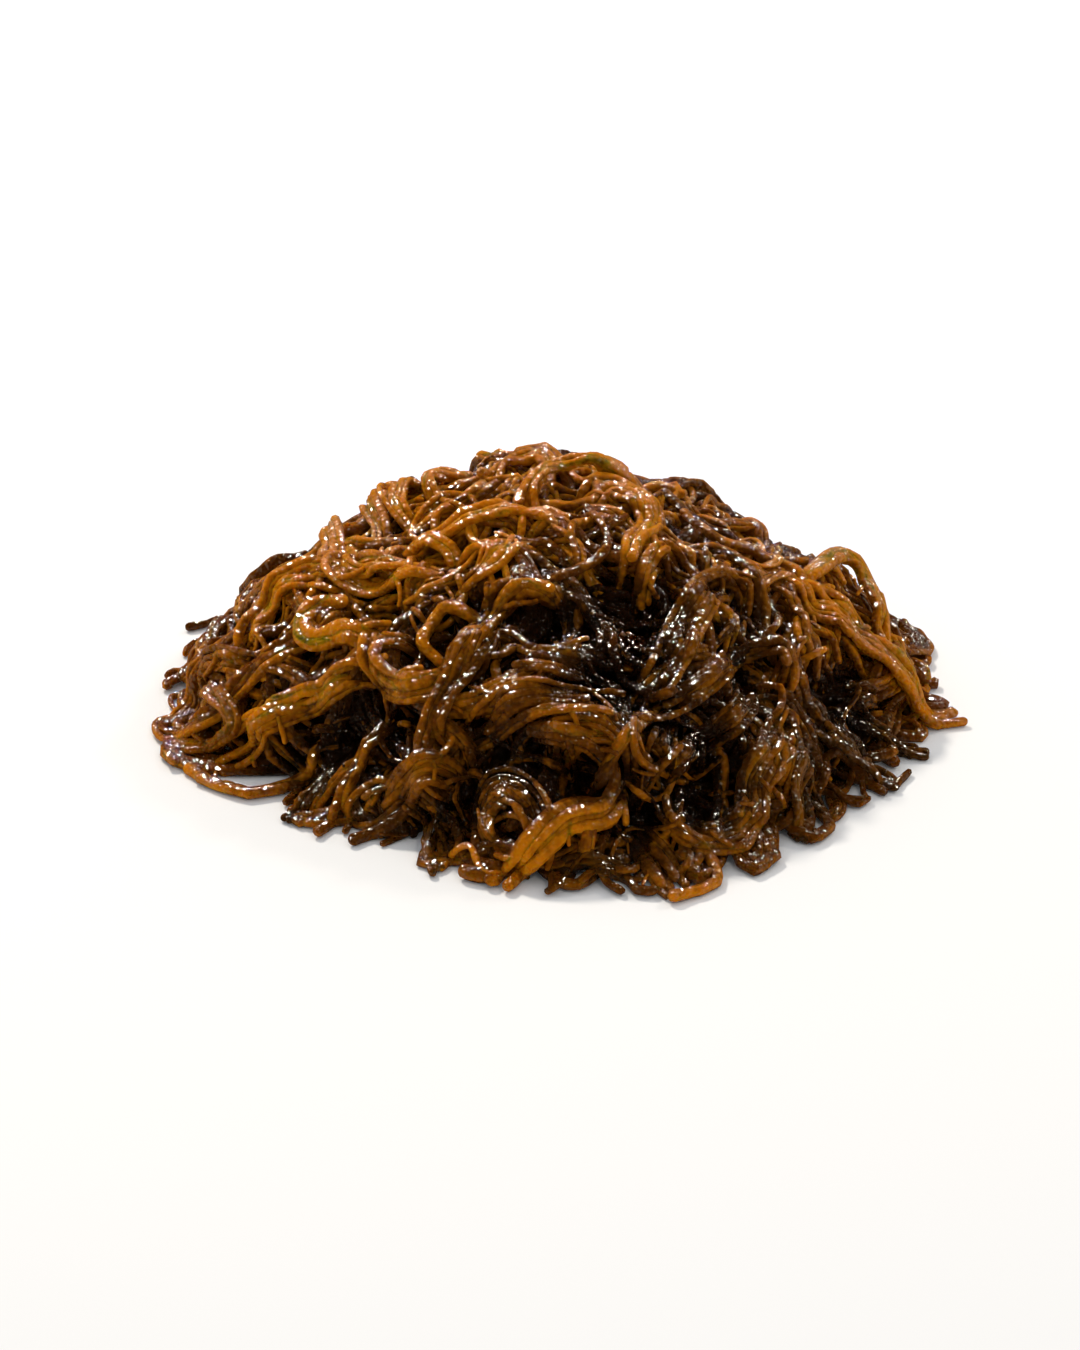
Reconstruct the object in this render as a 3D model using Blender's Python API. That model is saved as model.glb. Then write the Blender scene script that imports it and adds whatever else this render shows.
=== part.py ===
"""Mozuku seaweed: a drained heap of soft, branching brown strands, as tipped out on a flat surface.

The heap is one tangled mass with locks of strands lying over it. Each lock is a solid of its own,
laid down after the ones below it, so that it passes over them and never through them.
Metres, +Z up. The heap rests on z = 0 with the middle of its outline over the origin, its front facing -Y.
"""

import math
import random

import bmesh
import bpy
from mathutils import Vector, noise
from mathutils.bvhtree import BVHTree

MM = 0.001

# The heap's outer form: a low dome on a foot that is drawn in between its spread corners.
# The foot's outline is given by bearing in degrees (0 is +X, 270 the front) and radius in mm.
FOOT_OUTLINE = [
    (0, 95),
    (40, 91),
    (90, 97),
    (135, 91),
    (165, 99),
    (195, 101),
    (218, 91),
    (250, 90),
    (268, 98),
    (285, 99),
    (318, 91),
    (345, 93),
    (360, 95),
]
HEAP_HEIGHT = 62 * MM
SHOULDER_POWER = 0.75
CURVE_SAMPLES = 20
DRAPE_CENTRE = Vector((0, 0, -30 * MM))
HEAP_PLACE = Vector((-0.7 * MM, 2.2 * MM, 0))
FAR_OUT = 300 * MM

# Where the dome swells or sinks: bearing, share of the way from the crown to the foot, width, rise
SWELLS = [
    (35, 0.50, 30 * MM, -5 * MM),
    (188, 0.42, 22 * MM, -2.5 * MM),
    (184, 0.82, 14 * MM, 5 * MM),
    (5, 0.84, 14 * MM, 4 * MM),
]

# The packed mass inside the tangle
CORE_DEPTH = 16 * MM
CORE_FOOT_INSET = 4 * MM
FOOT_SHARE = 0.55
FOOT_EDGE_RISE = 2.5 * MM
CORE_LUMP = 5 * MM
CORE_LUMP_SIZE = 26 * MM
CORE_AROUND = 28
CORE_RINGS = 12
UNDERSIDE_BELOW = 0.01

# The strands of the tangle, drawn by a seeded rule
TANGLE_SEED = 10
TANGLE_STRANDS = 40
TANGLE_TRIES = 30
TANGLE_SPACING = 14 * MM
TANGLE_SIDES = 4
TANGLE_RADIUS = (3.6 * MM, 4.8 * MM)
TANGLE_LENGTH = (65 * MM, 110 * MM)
TANGLE_DEPTH = (8 * MM, 11.5 * MM)
TANGLE_STEP = 11.5 * MM
TANGLE_CURL = 0.6
TURN_CHANGE = 0.6
TURN_AT_FOOT = math.radians(60)
TANGLE_REACH = 0.92
ROOT_DEPTH = 18.5 * MM

# The locks. Their routes are sampled finely, and their strands bend at every step
LOCK_SEED = 5
LOCK_SAMPLE = 2 * MM
LOCK_STEP = 9.5 * MM
STRAND_RADIUS = 2.3 * MM
STRAND_PITCH = 3.3 * MM
STRAND_SIDES = 5
TIP_SHARE = 0.55
TWIST_LENGTH = 70 * MM
TWIST_NARROWING = 0.3
TWIST_LIFT = 0.4
SHOOT_RADIUS = 1.5 * MM
SHOOT_LENGTH = 10 * MM
SHOOT_STOPS = (0, 0.55, 1)
SHOOT_AHEAD = 4
SHOOT_TRIES = 8
FEELERS = (-1, -0.5, 0, 0.5, 1)
CLEARANCE = 0.5 * MM
SMOOTHING_PASSES = 6
LIFT_STEP = 0.6 * MM
MOST_LIFTS = 14

AMBER = (0.30, 0.13, 0.015, 1)
BROWN = (0.14, 0.06, 0.012, 1)
DARK = (0.045, 0.025, 0.010, 1)

# Each lock's route over the heap, by bearing and share. Then its strands and its colour.
LOCKS = {
    "lock_left_sweep": (
        [(226, 0.72), (219, 0.765), (215, 0.82), (211, 0.86), (208, 0.91), (206, 0.955), (203, 0.99)],
        3,
        AMBER,
    ),
    "lock_left_foot_loop": (
        [(217, 0.89), (218, 0.94), (217, 0.97), (213, 1.0), (208, 1.02), (203, 1.01)],
        1,
        AMBER,
    ),
    "lock_left_fold": (
        [(186, 0.96), (193, 0.92), (200, 0.91), (204, 0.94), (200, 0.98), (194, 1.0)],
        2,
        BROWN,
    ),
    "lock_left_shoulder": ([(188, 0.60), (186, 0.68), (187, 0.75), (190, 0.81), (194, 0.86)], 2, AMBER),
    "lock_left_rim": ([(199, 0.82), (194, 0.86), (189, 0.90), (185, 0.95)], 2, BROWN),
    "lock_left_arch": (
        [(203, 0.60), (200, 0.65), (201, 0.71), (206, 0.735), (212, 0.69), (218, 0.69)],
        2,
        AMBER,
    ),
    "lock_crown_left": ([(178, 0.54), (188, 0.58), (198, 0.55), (206, 0.49), (214, 0.42)], 2, AMBER),
    "lock_u_loop": (
        [
            (219, 0.67),
            (223, 0.72),
            (229, 0.745),
            (235, 0.745),
            (240, 0.70),
            (242, 0.61),
            (243, 0.52),
            (246, 0.45),
            (252, 0.415),
            (261, 0.395),
            (270, 0.40),
        ],
        3,
        AMBER,
    ),
    "lock_crown_arch": (
        [(190, 0.44), (196, 0.35), (201, 0.27), (210, 0.19), (235, 0.13), (275, 0.15)],
        2,
        AMBER,
    ),
    "lock_crown_fall": ([(222, 0.46), (229, 0.42), (235, 0.36), (240, 0.29), (248, 0.23)], 2, AMBER),
    "lock_crown_back": (
        [(215, 0.13), (175, 0.09), (115, 0.09), (60, 0.12), (38, 0.20), (30, 0.30)],
        2,
        AMBER,
    ),
    "lock_crown_right": (
        [(330, 0.05), (20, 0.13), (352, 0.22), (328, 0.27), (308, 0.30), (296, 0.37)],
        2,
        AMBER,
    ),
    "lock_crown_drop": ([(326, 0.37), (314, 0.36), (305, 0.39), (300, 0.45)], 2, AMBER),
    "lock_middle_fall": ([(268, 0.35), (276, 0.39), (281, 0.45), (282, 0.52), (279, 0.59)], 2, BROWN),
    "lock_middle_column": ([(247, 0.56), (245, 0.66), (243, 0.75), (243, 0.83), (246, 0.88)], 3, BROWN),
    "lock_middle_ribs": ([(256, 0.62), (262, 0.60), (270, 0.60), (278, 0.61), (283, 0.64)], 3, BROWN),
    "lock_middle_bar": (
        [(249, 0.81), (254, 0.765), (259, 0.72), (266, 0.69), (274, 0.69), (282, 0.70)],
        3,
        BROWN,
    ),
    "lock_middle_lower": ([(262, 0.76), (268, 0.765), (274, 0.78), (278, 0.81)], 2, BROWN),
    "lock_right_rope": (
        [(333, 0.57), (329, 0.52), (321, 0.51), (313, 0.535), (305, 0.57), (297, 0.62), (290, 0.67)],
        3,
        BROWN,
    ),
    "lock_right_hook": (
        [
            (323, 0.77),
            (325, 0.72),
            (320, 0.685),
            (314, 0.69),
            (307, 0.70),
            (299, 0.71),
            (291, 0.715),
            (285, 0.71),
        ],
        2,
        BROWN,
    ),
    "lock_right_drop": ([(346, 0.60), (342, 0.66), (338, 0.71), (334, 0.76), (332, 0.81)], 2, BROWN),
    "lock_right_shoulder": (
        [(352, 0.60), (350, 0.69), (350, 0.78), (350, 0.86), (350, 0.93), (351, 0.99), (353, 1.04)],
        3,
        AMBER,
    ),
    "lock_right_ear": ([(350, 0.64), (0, 0.68), (8, 0.74), (5, 0.81), (358, 0.86), (355, 0.92)], 2, AMBER),
    "lock_front_right_bow": (
        [(317, 0.75), (310, 0.78), (302, 0.80), (295, 0.81), (289, 0.84), (286, 0.87)],
        3,
        BROWN,
    ),
    "lock_front_right_loop": (
        [
            (317, 0.86),
            (310, 0.875),
            (305, 0.90),
            (302, 0.94),
            (297, 0.965),
            (291, 0.955),
            (287, 0.92),
            (287, 0.88),
        ],
        3,
        BROWN,
    ),
    "lock_right_fan": ([(320, 0.87), (317, 0.91), (312, 0.95), (309, 1.0)], 2, DARK),
    "lock_right_foot": ([(324, 0.88), (327, 0.92), (330, 0.96), (331, 1.0)], 3, DARK),
    "lock_right_low": ([(337, 0.88), (339, 0.94), (341, 1.0)], 3, DARK),
    "lock_front_drip": (
        [(279, 0.81), (279, 0.86), (276, 0.90), (270, 0.91), (266, 0.945), (263, 0.98), (260, 1.01)],
        2,
        AMBER,
    ),
    "lock_front_fan": ([(280, 0.93), (283, 0.965), (285, 1.0)], 3, BROWN),
    "lock_front_foot": ([(267, 0.99), (273, 0.97), (279, 0.985)], 2, DARK),
    "lock_front_loops": (
        [(259, 0.985), (256, 0.955), (255, 0.92), (258, 0.88), (262, 0.875), (265, 0.90), (266, 0.93)],
        2,
        BROWN,
    ),
    "lock_front_left_arch": (
        [(234, 0.98), (238, 0.95), (241, 0.91), (245, 0.875), (249, 0.885), (250, 0.92)],
        3,
        BROWN,
    ),
    "lock_front_left_thread": ([(227, 0.79), (230, 0.83), (229, 0.88), (229, 0.93), (230, 1.0)], 1, AMBER),
    "lock_front_left_foot": ([(243, 0.93), (246, 0.955), (249, 0.975), (252, 1.0)], 2, DARK),
    "lock_left_stems": ([(221, 0.90), (223, 0.95), (224, 1.0)], 3, DARK),
    "lock_back_left": ([(140, 0.38), (143, 0.55), (136, 0.70), (142, 0.84), (150, 0.97)], 3, BROWN),
    "lock_back_middle": ([(95, 0.34), (104, 0.48), (112, 0.62), (104, 0.78), (110, 0.95)], 3, AMBER),
    "lock_back_loop": ([(88, 0.62), (80, 0.76), (88, 0.90), (100, 1.0)], 2, BROWN),
    "lock_back_right": ([(50, 0.42), (60, 0.54), (54, 0.70), (62, 0.85), (56, 0.98)], 3, BROWN),
    "lock_back_right_rim": ([(22, 0.66), (30, 0.80), (26, 0.92), (36, 1.0)], 2, AMBER),
    "lock_back_left_rim": ([(158, 0.72), (160, 0.86), (154, 0.97), (160, 1.03)], 2, BROWN),
    "lock_back_foot_left": ([(118, 0.88), (124, 0.94), (130, 1.0), (138, 1.03)], 2, DARK),
    "lock_back_foot_right": ([(66, 0.84), (70, 0.93), (76, 1.0), (85, 1.03)], 2, BROWN),
    "lock_right_side_foot": ([(4, 0.90), (10, 0.96), (16, 1.01), (24, 1.02)], 2, BROWN),
}

# Loops that stand proud of the heap, and how far their middles rise
PROUD_LOOPS = {"lock_crown_back": 2 * MM, "lock_right_ear": 3 * MM}


def clear_scene():
    for obj in list(bpy.data.objects):
        bpy.data.objects.remove(obj)


def new_collection(name):
    made = bpy.data.collections.new(name)
    bpy.context.scene.collection.children.link(made)
    return made


def seaweed_material(name, colour):
    """Wet, slippery and glossy all over."""
    material = bpy.data.materials.new(name)
    material.use_nodes = True
    shader = material.node_tree.nodes["Principled BSDF"]
    shader.inputs["Base Color"].default_value = colour
    shader.inputs["Roughness"].default_value = 0.18
    shader.inputs["Metallic"].default_value = 0.0
    return material


def foot_radius(x, y):
    """How far the heap's foot reaches in the direction of a place in plan."""
    bearing = math.degrees(math.atan2(y, x)) % 360
    for (start, here), (end, there) in zip(FOOT_OUTLINE, FOOT_OUTLINE[1:]):
        if bearing <= end:
            part = (bearing - start) / (end - start)
            return MM * (here + (there - here) * part * part * (3 - 2 * part))


def dome_height(share):
    return HEAP_HEIGHT * max(0.0, 1 - share * share) ** SHOULDER_POWER


def plan_point(bearing, share):
    angle = math.radians(bearing)
    aim = Vector((math.cos(angle), math.sin(angle)))
    return aim * foot_radius(*aim) * share


def swell(x, y):
    """How far the heap rises above the plain dome over a place in plan."""
    here = Vector((x, y))
    total = 0.0
    for bearing, share, width, rise in SWELLS:
        away = (here - plan_point(bearing, share)).length
        total += rise * math.exp(-((away / width) ** 2))
    return total


def dome_point(x, y):
    """The point of the heap's outer form over a place in plan."""
    share = math.hypot(x, y) / foot_radius(x, y)
    return Vector((x, y, max(0.0, dome_height(share) + swell(x, y))))


def smooth_route(points, spacing):
    """Evenly spaced plan points on a smooth curve through the given ones."""
    padded = [points[0] * 2 - points[1], *points, points[-1] * 2 - points[-2]]
    dense = []
    for a, b, c, d in zip(padded, padded[1:], padded[2:], padded[3:]):
        for step in range(CURVE_SAMPLES):
            t = step / CURVE_SAMPLES
            rise = (a * 2 - b * 5 + c * 4 - d) * t**2 + (b * 3 - a - c * 3 + d) * t**3
            dense.append((b * 2 + (c - a) * t + rise) / 2)
    dense.append(points[-1])
    walked = [0.0]
    for a, b in zip(dense, dense[1:]):
        walked.append(walked[-1] + (dome_point(*b) - dome_point(*a)).length)
    count = max(3, round(walked[-1] / spacing))
    even = []
    at = 0
    for k in range(count + 1):
        goal = walked[-1] * k / count
        while at < len(walked) - 2 and walked[at + 1] < goal:
            at += 1
        along = (goal - walked[at]) / max(walked[at + 1] - walked[at], 1e-9)
        even.append(dense[at].lerp(dense[at + 1], min(1.0, along)))
    return even


def side_of(route, k):
    """The unit vector to the left of the route at its point k, in plan."""
    ahead = route[min(k + 1, len(route) - 1)] - route[max(k - 1, 0)]
    return Vector((-ahead.y, ahead.x)).normalized()


def make_profile(sides, collection):
    """The cross-section that strands are swept with, of radius 1."""
    curve = bpy.data.curves.new("strand_profile", "CURVE")
    curve.dimensions = "2D"
    curve.fill_mode = "NONE"
    spline = curve.splines.new("POLY")
    spline.points.add(sides - 1)
    spline.use_cyclic_u = True
    for k, point in enumerate(spline.points):
        angle = 2 * math.pi * k / sides
        point.co = (math.cos(angle), math.sin(angle), 0, 1)
    profile = bpy.data.objects.new("strand_profile", curve)
    profile.hide_render = True
    profile.display_type = "WIRE"
    collection.objects.link(profile)
    return profile


def strand_curve(name, points, radii, profile):
    """A strand of that cross-section through these points, thinner where its radii say so."""
    curve = bpy.data.curves.new(name, "CURVE")
    curve.dimensions = "3D"
    curve.bevel_mode = "OBJECT"
    curve.bevel_object = profile
    curve.use_fill_caps = True
    spline = curve.splines.new("POLY")
    spline.points.add(len(points) - 1)
    for point, place, radius in zip(spline.points, points, radii):
        point.co = (*place, 1)
        point.radius = radius
    return curve


def as_mesh(name, curve, collection):
    """The curve as a closed mesh object, with its caps welded on."""
    source = bpy.data.objects.new(name + "_curve", curve)
    collection.objects.link(source)
    bpy.context.view_layer.update()
    graph = bpy.context.evaluated_depsgraph_get()
    mesh = bpy.data.meshes.new_from_object(source.evaluated_get(graph))
    mesh.name = name
    bpy.data.objects.remove(source)
    bm = bmesh.new()
    bm.from_mesh(mesh)
    bmesh.ops.remove_doubles(bm, verts=bm.verts, dist=1e-6)
    bmesh.ops.recalc_face_normals(bm, faces=bm.faces)
    bm.to_mesh(mesh)
    bm.free()
    obj = bpy.data.objects.new(name, mesh)
    collection.objects.link(obj)
    return obj


def island_volume(faces):
    """Six times the volume inside a set of faces."""
    total = 0.0
    for face in faces:
        first, *rest = [loop.vert.co for loop in face.loops]
        for b, c in zip(rest, rest[1:]):
            total += first.dot(b.cross(c))
    return total


def keep_outer_skin(obj):
    """Drops the sealed hollows and loose scraps that fusing leaves behind.

    A hollow can meet the outer skin along an edge of four faces, so the search doesn't cross those.
    """
    bm = bmesh.new()
    bm.from_mesh(obj.data)
    unseen = set(bm.faces)
    islands = []
    while unseen:
        island = {unseen.pop()}
        edge_of = list(island)
        while edge_of:
            face = edge_of.pop()
            for edge in face.edges:
                if len(edge.link_faces) != 2:
                    continue
                for other in edge.link_faces:
                    if other in unseen:
                        unseen.remove(other)
                        island.add(other)
                        edge_of.append(other)
        islands.append(island)
    islands.sort(key=island_volume)
    for island in islands[:-1]:
        bmesh.ops.delete(bm, geom=list(island), context="FACES")
    bm.to_mesh(obj.data)
    bm.free()


def in_fixed_order(mesh):
    """The mesh with its points and faces in the same order, however the solver left them."""
    points = sorted(mesh.vertices, key=lambda vert: tuple(vert.co))
    rank = {vert.index: k for k, vert in enumerate(points)}
    faces = []
    for polygon in mesh.polygons:
        ring = [rank[k] for k in polygon.vertices]
        turn = ring.index(min(ring))
        faces.append(ring[turn:] + ring[:turn])
    fixed = bpy.data.meshes.new(mesh.name)
    fixed.from_pydata([vert.co for vert in points], [], sorted(faces))
    return fixed


def fuse(body, pieces):
    """One Boolean union of the pieces onto the body, applied."""
    helpers = bpy.data.collections.new("fusing")
    bpy.context.scene.collection.children.link(helpers)
    for piece in pieces:
        for holder in piece.users_collection:
            holder.objects.unlink(piece)
        helpers.objects.link(piece)
    union = body.modifiers.new("fuse", "BOOLEAN")
    union.operation = "UNION"
    union.operand_type = "COLLECTION"
    union.collection = helpers
    union.solver = "EXACT"
    bpy.context.view_layer.update()
    graph = bpy.context.evaluated_depsgraph_get()
    mesh = bpy.data.meshes.new_from_object(body.evaluated_get(graph))
    body.modifiers.remove(union)
    body.data = mesh
    for piece in list(helpers.objects):
        bpy.data.objects.remove(piece)
    bpy.data.collections.remove(helpers)
    keep_outer_skin(body)
    body.data = in_fixed_order(body.data)


def make_core(collection):
    """The packed mass: a lumpy dome under the strands, flat where the heap rests, its edge turned up."""
    bm = bmesh.new()
    bmesh.ops.create_uvsphere(bm, u_segments=CORE_AROUND, v_segments=CORE_RINGS, radius=1)
    for vert in bm.verts:
        share = math.hypot(vert.co.x, vert.co.y)
        reach = foot_radius(vert.co.x, vert.co.y) - CORE_FOOT_INSET
        x, y = vert.co.x * reach, vert.co.y * reach
        if vert.co.z < UNDERSIDE_BELOW:
            beyond = max(0.0, share - FOOT_SHARE) / (1 - FOOT_SHARE)
            vert.co = (x, y, FOOT_EDGE_RISE * beyond**2)
            continue
        lump = CORE_LUMP * noise.noise(Vector((x, y, 0)) / CORE_LUMP_SIZE)
        height = dome_height(share) * (1 - CORE_DEPTH / HEAP_HEIGHT) + swell(x, y)
        vert.co = (x, y, max(height, FOOT_EDGE_RISE) + lump * (1 - share))
    mesh = bpy.data.meshes.new("heap_tangle")
    bm.to_mesh(mesh)
    bm.free()
    core = bpy.data.objects.new("heap_tangle", mesh)
    collection.objects.link(core)
    return core


def tree_of(objects):
    """What the next strand is laid on."""
    points = []
    faces = []
    for obj in objects:
        start = len(points)
        points.extend(vert.co.copy() for vert in obj.data.vertices)
        faces.extend([start + k for k in polygon.vertices] for polygon in obj.data.polygons)
    return BVHTree.FromPolygons(points, faces)


def outward(plan, floor):
    """The direction in which the heap's skin over a place in plan is looked for."""
    place = dome_point(*plan)
    place.z = max(place.z, floor)
    return (place - DRAPE_CENTRE).normalized()


def skin_distance(tree, direction):
    hit = tree.ray_cast(DRAPE_CENTRE + direction * FAR_OUT, -direction)
    return 0.0 if hit[0] is None else (hit[0] - DRAPE_CENTRE).length


def random_walk(draw, length):
    """A curling path over the dome, as plan points."""
    here = plan_point(draw.uniform(0, 360), TANGLE_REACH * math.sqrt(draw.random()))
    heading = draw.uniform(0, 2 * math.pi)
    turn = draw.uniform(-TANGLE_CURL, TANGLE_CURL)
    route = [here]
    for _ in range(round(length / TANGLE_STEP)):
        turn += draw.uniform(-TANGLE_CURL, TANGLE_CURL) * TURN_CHANGE
        turn = max(-TANGLE_CURL, min(TANGLE_CURL, turn))
        heading += turn
        ahead = Vector((math.cos(heading), math.sin(heading)))
        slope = dome_point(*(here + ahead * MM)) - dome_point(*here)
        here = here + ahead * TANGLE_STEP * MM / slope.length
        farthest = foot_radius(*here) * TANGLE_REACH
        if here.length > farthest:
            here = here.normalized() * farthest
            heading += TURN_AT_FOOT
        route.append(here)
    return route


def bareness(walk, covered):
    """How far a path lies from those before it, counted up to one spacing."""
    total = 0.0
    for here in walk:
        total += min([TANGLE_SPACING] + [(here - other).length for other in covered])
    return total / len(walk)


def tangle_strand(name, covered, draw, profile, collection):
    """A strand at its own depth under the outer form, its two ends run down into the core.

    Of a few paths it takes the one over the barest stretch.
    """
    radius = draw.uniform(*TANGLE_RADIUS)
    depth = draw.uniform(*TANGLE_DEPTH)
    length = draw.uniform(*TANGLE_LENGTH)
    walks = [random_walk(draw, length) for _ in range(TANGLE_TRIES)]
    route = max(walks, key=lambda walk: bareness(walk, covered))
    covered.extend(route)
    points = []
    for k, plan in enumerate(route):
        direction = outward(plan, radius)
        form = (dome_point(*plan) - DRAPE_CENTRE).length
        at_end = k in (0, len(route) - 1)
        floor = (radius - DRAPE_CENTRE.z) / direction.z
        distance = max(form - (ROOT_DEPTH if at_end else depth), floor)
        points.append(DRAPE_CENTRE + direction * distance)
    curve = strand_curve(name, points, [radius] * len(points), profile)
    return as_mesh(name, curve, collection)


def make_tangle(profile, collection):
    core = make_core(collection)
    draw = random.Random(TANGLE_SEED)
    covered = []
    strands = []
    for k in range(TANGLE_STRANDS):
        strands.append(tangle_strand(f"tangle_strand_{k}", covered, draw, profile, collection))
    fuse(core, strands)
    return core


def resting_levels(tree, route, half_width, radius):
    """How far out a lock's middle has to lie at each point to clear what is under it."""
    need = []
    for k, plan in enumerate(route):
        side = side_of(route, k)
        direction = outward(plan, radius)
        level = (radius - DRAPE_CENTRE.z) / direction.z
        for across in FEELERS:
            reach = half_width + radius
            aside = outward(plan + side * reach * across, radius)
            hit = skin_distance(tree, aside)
            if hit:
                level = max(level, hit + radius + CLEARANCE)
        need.append(level)
    for _ in range(SMOOTHING_PASSES):
        ends = [need[0], *need, need[-1]]
        need = [max(b, (a + 2 * b + c) / 4) for a, b, c in zip(ends, ends[1:], ends[2:])]
    return need


def side_shoot(name, route, levels, tree, draw, profile, collection):
    """A short thin branch that leaves the lock's first strand and lies down beside it."""
    root = draw.randint(len(route) // 3, 2 * len(route) // 3)
    to_left = draw.choice((-1, 1))
    ahead = route[min(root + SHOOT_AHEAD, len(route) - 1)] - route[root]
    points = []
    for share in SHOOT_STOPS:
        plan = route[root] + ahead * share + side_of(route, root) * to_left * SHOOT_LENGTH * share
        direction = outward(plan, SHOOT_RADIUS)
        floor = (SHOOT_RADIUS - DRAPE_CENTRE.z) / direction.z
        skin = skin_distance(tree, direction) + SHOOT_RADIUS + CLEARANCE
        level = levels[root] if share == 0 else max(levels[root] - SHOOT_RADIUS * share, skin)
        points.append(DRAPE_CENTRE + direction * max(level, floor))
    radii = [SHOOT_RADIUS, SHOOT_RADIUS, SHOOT_RADIUS * TIP_SHARE]
    return as_mesh(name, strand_curve(name, points, radii, profile), collection)


def clear_shoot(name, route, levels, tree, draw, profile, collection):
    """A side shoot at a place where it touches nothing below, if there is one."""
    for _ in range(SHOOT_TRIES):
        shoot = side_shoot(f"{name}_shoot", route, levels, tree, draw, profile, collection)
        if not tree_of([shoot]).overlap(tree):
            return [shoot]
        bpy.data.objects.remove(shoot)
    return []


def lock_strands(name, route, levels, count, draw, profile, collection):
    """The strands of a lock side by side, slowly twisting, with tips of unequal length."""
    made = []
    last = len(route) - 1
    every = max(1, round(LOCK_STEP / LOCK_SAMPLE))
    turn = draw.uniform(0, math.pi)
    for i in range(count):
        across = (i - (count - 1) / 2) * STRAND_PITCH
        shorter = min(every, last // 4)
        first = draw.randint(0, shorter) if i else 0
        final = last - (draw.randint(0, shorter) if i else 0)
        stops = list(range(first, final, every))
        stops = stops[:-1] + [final] if final - stops[-1] < every / 2 else stops + [final]
        points = []
        radii = []
        for k in stops:
            angle = turn + k * LOCK_SAMPLE / TWIST_LENGTH * 2 * math.pi
            width = 1 - TWIST_NARROWING * (1 - math.cos(angle))
            beside = route[k] + side_of(route, k) * across * width
            direction = outward(beside, STRAND_RADIUS)
            lift = abs(across) * TWIST_LIFT * (1 + math.sin(angle)) / 2
            floor = (STRAND_RADIUS - DRAPE_CENTRE.z) / direction.z
            points.append(DRAPE_CENTRE + direction * max(levels[k] + lift, floor))
            radii.append(STRAND_RADIUS * (TIP_SHARE if k in (stops[0], stops[-1]) else 1.0))
        curve = strand_curve(f"{name}_{i}", points, radii, profile)
        made.append(as_mesh(f"{name}_{i}", curve, collection))
    return made


def make_lock(name, places, count, below, draw, profile, collection):
    """A lock laid over what is already there, raised a little wherever it would still touch."""
    tree = tree_of(below)
    route = smooth_route([plan_point(*place) for place in places], LOCK_SAMPLE)
    half_width = (count - 1) / 2 * STRAND_PITCH
    levels = resting_levels(tree, route, half_width, STRAND_RADIUS)
    rise = PROUD_LOOPS.get(name, 0.0)
    levels = [level + rise * math.sin(math.pi * k / (len(levels) - 1)) for k, level in enumerate(levels)]
    state = draw.getstate()
    for _ in range(MOST_LIFTS):
        draw.setstate(state)
        strands = lock_strands(name, route, levels, count, draw, profile, collection)
        touched = set()
        for strand in strands:
            touching = {mine for mine, _ in tree_of([strand]).overlap(tree)}
            for index in touching:
                middle = strand.data.polygons[index].center
                nearest = min(range(len(route)), key=lambda k: (route[k] - middle.xy).length)
                touched.add(nearest)
        if not touched:
            lock = strands[0]
            lock.name = name
            fuse(lock, strands[1:] + clear_shoot(name, route, levels, tree, draw, profile, collection))
            return lock
        for strand in strands:
            bpy.data.objects.remove(strand)
        reach = round(LOCK_STEP / LOCK_SAMPLE)
        for k in range(len(levels)):
            if any(abs(k - hit) <= reach for hit in touched):
                levels[k] += LIFT_STEP
    raise RuntimeError(f"{name} still touches what it lies on")


def place_heap(pieces, collection):
    """Sets the heap down with the middle of its outline over the origin."""
    heap = bpy.data.objects.new("heap", None)
    heap.location = HEAP_PLACE
    collection.objects.link(heap)
    for piece in pieces:
        piece.parent = heap


def main():
    clear_scene()
    seaweed = new_collection("mozuku_seaweed")
    helpers = new_collection("helpers")
    thick = make_profile(TANGLE_SIDES, helpers)
    round_profile = make_profile(STRAND_SIDES, helpers)
    tangle = make_tangle(thick, seaweed)
    tangle.data.materials.append(seaweed_material("tangle", DARK))
    draw = random.Random(LOCK_SEED)
    laid = [tangle]
    for name, (places, count, colour) in LOCKS.items():
        lock = make_lock(name, places, count, laid, draw, round_profile, seaweed)
        lock.data.materials.clear()
        lock.data.materials.append(seaweed_material(name, colour))
        laid.append(lock)
    place_heap(laid, seaweed)
    for obj in laid:
        obj.data.shade_smooth()
        print(obj.name, sum(len(p.vertices) - 2 for p in obj.data.polygons), "triangles")


main()
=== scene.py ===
"""Mozuku seaweed: the looks of a drained heap of wet, branching brown strands.

A packed inside is covered with bunches of fine strands, each laid over what is already there. The locks
follow the routes of the solids they stand for. Metres, +Z up, with the front of the heap facing -Y.
"""

import math
import random

import bpy
import numpy as np
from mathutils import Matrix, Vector


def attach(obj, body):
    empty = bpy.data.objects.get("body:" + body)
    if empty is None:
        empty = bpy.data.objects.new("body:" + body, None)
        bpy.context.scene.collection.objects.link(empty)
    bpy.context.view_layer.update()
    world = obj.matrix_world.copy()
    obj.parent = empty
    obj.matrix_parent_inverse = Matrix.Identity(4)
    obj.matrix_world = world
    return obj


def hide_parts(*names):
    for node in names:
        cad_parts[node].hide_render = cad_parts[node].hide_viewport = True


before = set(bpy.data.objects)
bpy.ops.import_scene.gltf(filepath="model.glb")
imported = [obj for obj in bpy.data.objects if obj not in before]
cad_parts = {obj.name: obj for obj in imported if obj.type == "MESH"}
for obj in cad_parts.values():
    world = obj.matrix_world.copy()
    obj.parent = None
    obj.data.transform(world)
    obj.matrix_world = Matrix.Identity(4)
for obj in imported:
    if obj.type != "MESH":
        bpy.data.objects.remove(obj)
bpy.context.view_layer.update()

MM = 0.001

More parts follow.
